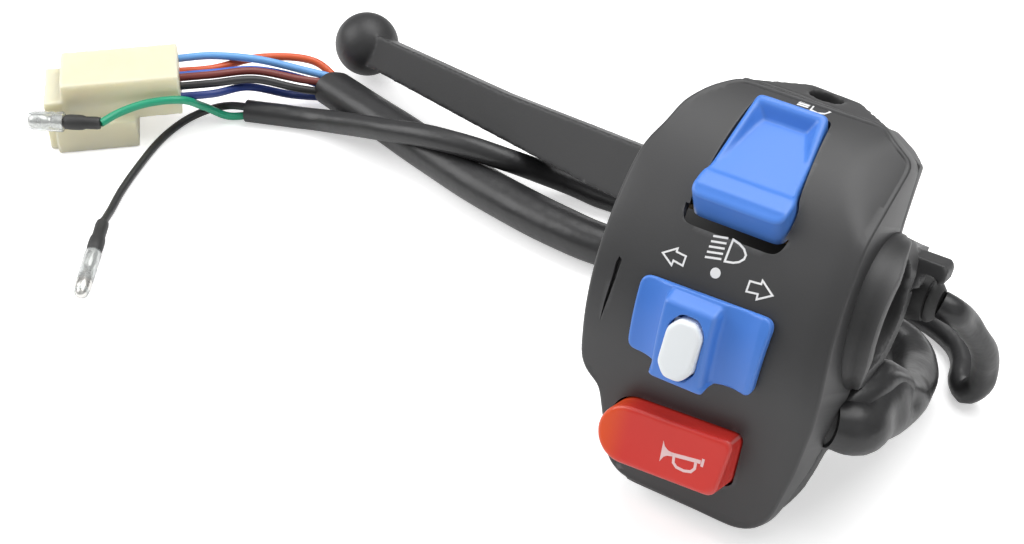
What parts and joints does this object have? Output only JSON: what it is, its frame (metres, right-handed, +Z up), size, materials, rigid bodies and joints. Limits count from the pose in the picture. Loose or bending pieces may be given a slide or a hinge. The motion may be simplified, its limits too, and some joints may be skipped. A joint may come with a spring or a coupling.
{
  "type": "handlebar switch cluster",
  "caption": "Left handlebar switch housing with dip rocker, indicator slide, horn button, cable brake lever perch, brake-light switch and wiring with a plug",
  "frame": {"origin": "on the handlebar's axis, in the middle of the clamp", "axes": "+X along the handlebar towards the middle of the vehicle, +Y forward, away from the rider, +Z up; the housing leans forward 35 degrees about the handlebar"},
  "size_m": [0.2441, 0.1198, 0.0749],
  "materials": {
    "housing_plastic": "satin moulded",
    "cast_black": "satin black paint on a casting",
    "steel": "zinc plated",
    "blue_plastic": "moulded, light gloss",
    "white_plastic": "moulded, light gloss",
    "red_plastic": "moulded, light gloss",
    "phenolic": "moulded",
    "brass": "stamped",
    "tinned_brass": "tinned",
    "black_rubber": "moulded",
    "vinyl": "soft vinyl, light sheen",
    "ivory_nylon": "natural nylon",
    "clear_vinyl": "clear vinyl",
    "wire_red": "wire insulation",
    "wire_light_blue": "wire insulation",
    "wire_blue": "wire insulation",
    "wire_brown": "wire insulation",
    "wire_dark_blue": "wire insulation",
    "wire_green": "wire insulation"
  },
  "bodies": {
    "housing": {"front_shell": "housing_plastic", "rear_shell": "cast_black", "housing_screws": "steel", "dip_pin": "steel", "dip_base": "phenolic", "dip_contacts": "brass", "indicator_base": "phenolic", "indicator_contacts": "brass", "horn_base": "phenolic", "horn_contact": "brass", "horn_spring": "steel", "pivot_bolt": "steel", "pivot_nut": "steel", "brake_switch_body": "housing_plastic", "plunger_spring": "steel", "switch_boot": "black_rubber", "harness_grommet": "black_rubber", "main_sleeve": "vinyl", "brake_lead_sleeve": "vinyl", "wire_red": "wire_red", "wire_light_blue": "wire_light_blue", "wire_blue": "wire_blue", "wire_brown": "wire_brown", "wire_black": "vinyl", "wire_dark_blue": "wire_dark_blue", "connector_shell": "ivory_nylon", "connector_terminals": "brass", "green_wire": "wire_green", "black_wire": "vinyl", "crimp_sleeves": "vinyl", "bullet_terminals": "tinned_brass", "clear_sleeves": "clear_vinyl"},
    "lever": {"brake_lever": "cast_black", "lever_bush": "brass"},
    "dip": {"dip_rocker": "blue_plastic", "dip_plunger": "brass"},
    "indicator": {"indicator_slider": "blue_plastic", "slider_carriage": "phenolic", "cancel_spring": "steel"},
    "cancel": {"cancel_button": "white_plastic"},
    "horn": {"horn_button": "red_plastic", "horn_bridge": "brass"},
    "plunger": {"switch_plunger": "white_plastic"}
  },
  "joints": [
    {"name": "lever_pull", "type": "hinge", "parent": "housing", "child": "lever", "pos_m": [0.006, 0.03293, -0.01573], "axis": [0, 0.5736, 0.8192], "range_deg": [0, 16]},
    {"name": "plunger_slide", "type": "slide", "parent": "housing", "child": "plunger", "axis": [1, 0, 0], "range_m": [0, 0.0038], "deforming": ["plunger_spring"]},
    {"name": "dip_rock", "type": "hinge", "parent": "housing", "child": "dip", "pos_m": [-0.0007, 0.00269, 0.01899], "axis": [1, 0, 0], "range_deg": [0, 14]},
    {"name": "indicator_slide", "type": "slide", "parent": "housing", "child": "indicator", "axis": [1, 0, 0], "range_m": [-0.0035, 0.0035]},
    {"name": "cancel_push", "type": "slide", "parent": "indicator", "child": "cancel", "axis": [0, 0.9641, -0.2656], "range_m": [0, 0.0014], "stiffness_N_per_m": 400, "springref_m": -0.001, "deforming": ["cancel_spring"]},
    {"name": "horn_push", "type": "slide", "parent": "housing", "child": "horn", "axis": [0, 0.9205, -0.3907], "range_m": [0, 0.0025], "stiffness_N_per_m": 600, "springref_m": -0.001, "deforming": ["horn_spring"]}
  ],
  "couplings": [
    {"joint": "plunger_slide", "follows": "lever_pull", "m_per_rad": 0.0133}
  ]
}
